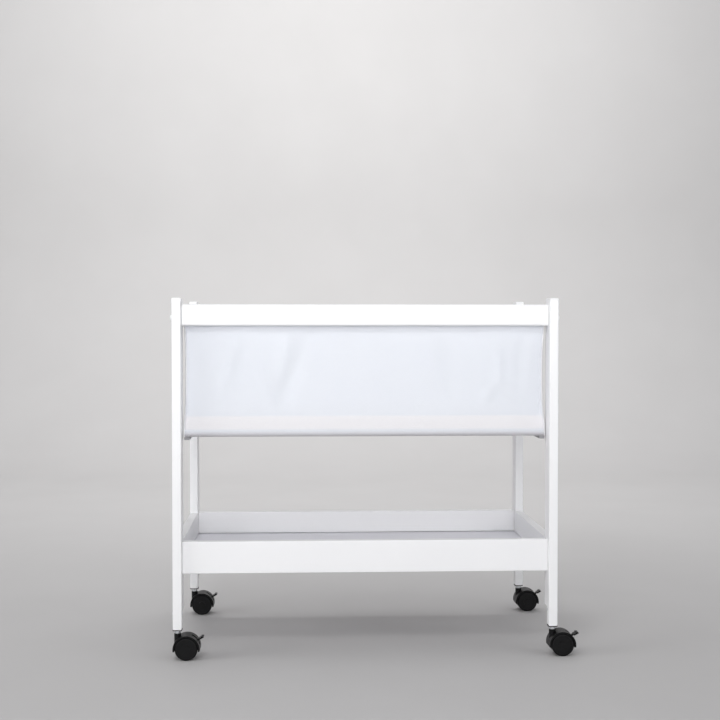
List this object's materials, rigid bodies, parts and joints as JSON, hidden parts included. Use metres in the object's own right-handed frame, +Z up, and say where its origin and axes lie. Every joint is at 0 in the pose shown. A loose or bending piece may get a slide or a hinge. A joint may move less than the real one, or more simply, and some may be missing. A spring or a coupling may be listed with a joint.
{
  "type": "bassinet on stand",
  "caption": "Wooden bassinet stand on swivelling braked castors, with a mesh fabric bag and mattress hung between its top rails and a tray shelf below.",
  "frame": {"origin": "on the floor, below the middle of the overall size", "axes": "+X along the length, -Y towards the front, +Z up"},
  "size_m": [0.9026, 0.501, 0.793],
  "materials": {
    "painted_wood": "white satin lacquer on pine",
    "painted_board": "white foil on fibreboard",
    "birch": "bare fluted dowel",
    "hardboard": "bare fibreboard",
    "white_plastic": "moulded, satin",
    "grey_plastic": "extruded, satin",
    "zinc": "bright zinc plate",
    "black_steel": "black oxide",
    "black_nylon": "moulded, fine satin",
    "wheel_nylon": "moulded, satin",
    "black_rubber": "matt",
    "mesh_fabric": "white warp-knit polyester mesh",
    "woven_tape": "white woven polyester tape",
    "mattress_cover": "white cotton"
  },
  "bodies": {
    "stand": {"front_left_leg": "painted_wood", "front_right_leg": "painted_wood", "back_left_leg": "painted_wood", "back_right_leg": "painted_wood", "top_rail_front": "painted_wood", "top_rail_back": "painted_wood", "end_rail_left": "painted_wood", "end_rail_right": "painted_wood", "shelf_board_front": "painted_wood", "shelf_board_back": "painted_wood", "shelf_board_left": "painted_wood", "shelf_board_right": "painted_wood", "shelf_floor": "painted_board", "rail_bolts": "black_steel", "bolt_caps": "white_plastic", "rail_barrel_nuts": "zinc", "end_rail_dowels": "birch", "side_board_dowels": "birch", "shelf_screws": "zinc", "foot_pins": "zinc", "stem_inserts": "zinc", "foot_plates": "black_rubber", "mesh_bag": "mesh_fabric", "rim_tape": "woven_tape", "hook_strips": "woven_tape", "base_board": "hardboard", "base_bars": "grey_plastic", "bar_screws": "zinc", "front_left_stem": "zinc", "front_right_stem": "zinc", "back_left_stem": "zinc", "back_right_stem": "zinc"},
    "mattress": {"mattress": "mattress_cover"},
    "front_left_castor": {"front_left_hood": "black_nylon", "front_left_axle": "zinc", "front_left_lever_pin": "zinc"},
    "front_left_near_wheel": {"front_left_near_wheel": "wheel_nylon"},
    "front_left_far_wheel": {"front_left_far_wheel": "wheel_nylon"},
    "front_left_brake_lever": {"front_left_brake_lever": "black_nylon"},
    "front_right_castor": {"front_right_hood": "black_nylon", "front_right_axle": "zinc", "front_right_lever_pin": "zinc"},
    "front_right_near_wheel": {"front_right_near_wheel": "wheel_nylon"},
    "front_right_far_wheel": {"front_right_far_wheel": "wheel_nylon"},
    "front_right_brake_lever": {"front_right_brake_lever": "black_nylon"},
    "back_left_castor": {"back_left_hood": "black_nylon", "back_left_axle": "zinc", "back_left_lever_pin": "zinc"},
    "back_left_near_wheel": {"back_left_near_wheel": "wheel_nylon"},
    "back_left_far_wheel": {"back_left_far_wheel": "wheel_nylon"},
    "back_left_brake_lever": {"back_left_brake_lever": "black_nylon"},
    "back_right_castor": {"back_right_hood": "black_nylon", "back_right_axle": "zinc", "back_right_lever_pin": "zinc"},
    "back_right_near_wheel": {"back_right_near_wheel": "wheel_nylon"},
    "back_right_far_wheel": {"back_right_far_wheel": "wheel_nylon"},
    "back_right_brake_lever": {"back_right_brake_lever": "black_nylon"}
  },
  "joints": [
    {"name": "mattress_lift", "type": "slide", "parent": "stand", "child": "mattress", "axis": [0, 0, 1], "range_m": [0, 0.3]},
    {"name": "front_left_swivel", "type": "hinge", "parent": "stand", "child": "front_left_castor", "pos_m": [-0.43628, -0.2285, 0.05], "axis": [0, 0, 1], "continuous": true},
    {"name": "front_left_near_wheel_spin", "type": "hinge", "parent": "front_left_castor", "child": "front_left_near_wheel", "pos_m": [-0.41628, -0.2285, 0.025], "axis": [0, 1, 0], "continuous": true},
    {"name": "front_left_far_wheel_spin", "type": "hinge", "parent": "front_left_castor", "child": "front_left_far_wheel", "pos_m": [-0.41628, -0.2285, 0.025], "axis": [0, 1, 0], "continuous": true},
    {"name": "front_left_brake", "type": "hinge", "parent": "front_left_castor", "child": "front_left_brake_lever", "pos_m": [-0.40019, -0.2285, 0.0385], "axis": [0, 1, 0], "range_deg": [0, 22]},
    {"name": "front_right_swivel", "type": "hinge", "parent": "stand", "child": "front_right_castor", "pos_m": [0.39372, -0.2285, 0.05], "axis": [0, 0, 1], "continuous": true},
    {"name": "front_right_near_wheel_spin", "type": "hinge", "parent": "front_right_castor", "child": "front_right_near_wheel", "pos_m": [0.41372, -0.2285, 0.025], "axis": [0, 1, 0], "continuous": true},
    {"name": "front_right_far_wheel_spin", "type": "hinge", "parent": "front_right_castor", "child": "front_right_far_wheel", "pos_m": [0.41372, -0.2285, 0.025], "axis": [0, 1, 0], "continuous": true},
    {"name": "front_right_brake", "type": "hinge", "parent": "front_right_castor", "child": "front_right_brake_lever", "pos_m": [0.42981, -0.2285, 0.0385], "axis": [0, 1, 0], "range_deg": [0, 22]},
    {"name": "back_left_swivel", "type": "hinge", "parent": "stand", "child": "back_left_castor", "pos_m": [-0.43628, 0.2105, 0.05], "axis": [0, 0, 1], "continuous": true},
    {"name": "back_left_near_wheel_spin", "type": "hinge", "parent": "back_left_castor", "child": "back_left_near_wheel", "pos_m": [-0.41628, 0.2105, 0.025], "axis": [0, 1, 0], "continuous": true},
    {"name": "back_left_far_wheel_spin", "type": "hinge", "parent": "back_left_castor", "child": "back_left_far_wheel", "pos_m": [-0.41628, 0.2105, 0.025], "axis": [0, 1, 0], "continuous": true},
    {"name": "back_left_brake", "type": "hinge", "parent": "back_left_castor", "child": "back_left_brake_lever", "pos_m": [-0.40019, 0.2105, 0.0385], "axis": [0, 1, 0], "range_deg": [0, 22]},
    {"name": "back_right_swivel", "type": "hinge", "parent": "stand", "child": "back_right_castor", "pos_m": [0.39372, 0.2105, 0.05], "axis": [0, 0, 1], "continuous": true},
    {"name": "back_right_near_wheel_spin", "type": "hinge", "parent": "back_right_castor", "child": "back_right_near_wheel", "pos_m": [0.41372, 0.2105, 0.025], "axis": [0, 1, 0], "continuous": true},
    {"name": "back_right_far_wheel_spin", "type": "hinge", "parent": "back_right_castor", "child": "back_right_far_wheel", "pos_m": [0.41372, 0.2105, 0.025], "axis": [0, 1, 0], "continuous": true},
    {"name": "back_right_brake", "type": "hinge", "parent": "back_right_castor", "child": "back_right_brake_lever", "pos_m": [0.42981, 0.2105, 0.0385], "axis": [0, 1, 0], "range_deg": [0, 22]}
  ]
}
